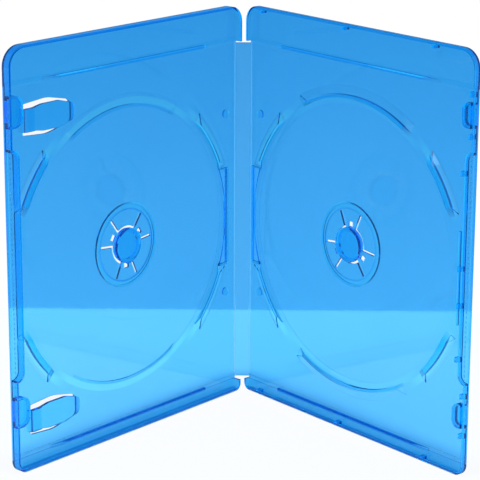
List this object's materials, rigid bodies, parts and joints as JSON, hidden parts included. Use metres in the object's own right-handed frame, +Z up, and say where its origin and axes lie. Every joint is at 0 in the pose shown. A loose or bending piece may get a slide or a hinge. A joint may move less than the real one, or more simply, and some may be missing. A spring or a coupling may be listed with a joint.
{
  "type": "blu-ray case",
  "caption": "Slim blu-ray case in translucent blue, standing open like a book: two hinged covers with snap-in disc hubs, thumb recesses, booklet clips and a clear outer sleeve.",
  "frame": {"origin": "middle of the standing area: centre of the part's box at the level of the covers' lower edges", "axes": "+Z up along the spine, +X from the left cover to the right cover, -Y the side that the open covers face"},
  "size_m": [0.1802, 0.1052, 0.1715],
  "materials": {
    "moulding": "translucent, smooth, slightly hazy",
    "sleeve": "clear film"
  },
  "bodies": {
    "spine": {"spine": "moulding", "spine_sleeve": "sleeve"},
    "left_cover": {"left_cover": "moulding", "left_sleeve": "sleeve"},
    "right_cover": {"right_cover": "moulding", "right_sleeve": "sleeve"}
  },
  "joints": [
    {"name": "left_hinge", "type": "hinge", "parent": "spine", "child": "left_cover", "pos_m": [-0.00275, 0.05199, 0.08], "axis": [0, 0, 1], "range_deg": [-49.6, 40.4]},
    {"name": "right_hinge", "type": "hinge", "parent": "spine", "child": "right_cover", "pos_m": [0.00275, 0.05199, 0.08], "axis": [0, 0, -1], "range_deg": [-49.6, 40.4]}
  ]
}
